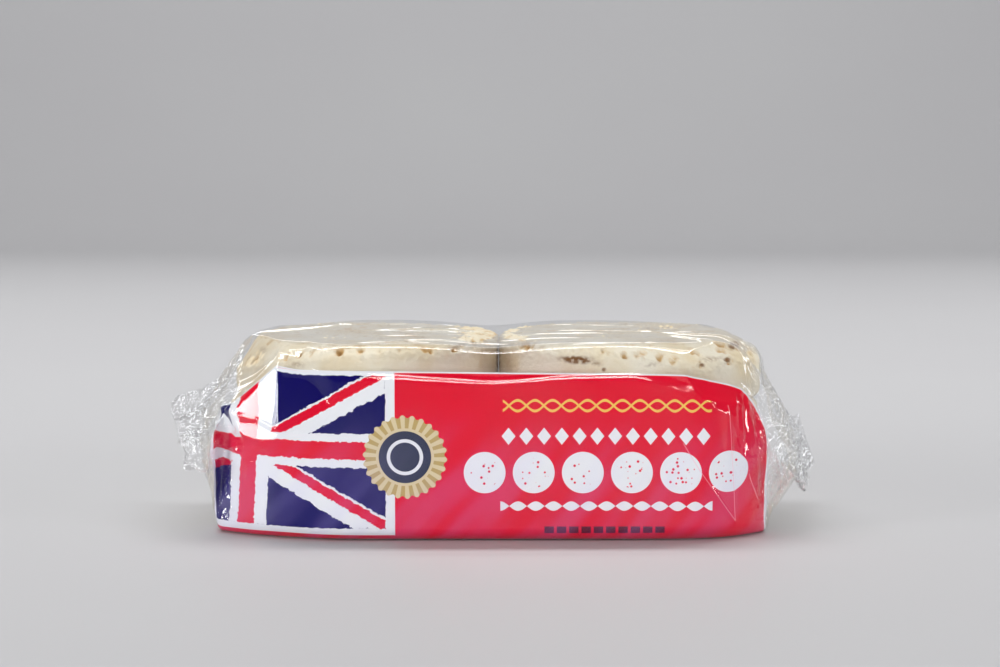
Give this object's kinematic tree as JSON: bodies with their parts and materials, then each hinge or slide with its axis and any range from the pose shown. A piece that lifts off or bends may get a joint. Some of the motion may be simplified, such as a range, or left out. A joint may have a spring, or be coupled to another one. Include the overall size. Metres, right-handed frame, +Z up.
{
  "type": "pack of crumpets",
  "caption": "Sealed clear film pack of round crumpets in stacks side by side, with a printed front panel and a crimped fin at each end.",
  "frame": {"origin": "under the middle of the pack, on the surface that it rests on", "axes": "+X along the pack to its right end as seen from the printed front, which faces -Y, and +Z up"},
  "size_m": [0.224, 0.09, 0.0625],
  "materials": {
    "film_over_crumpets": "clear glossy film over pale baked crumpets, red, white and navy print on the front"
  },
  "bodies": {
    "root": {"bag": "film_over_crumpets"}
  },
  "joints": []
}
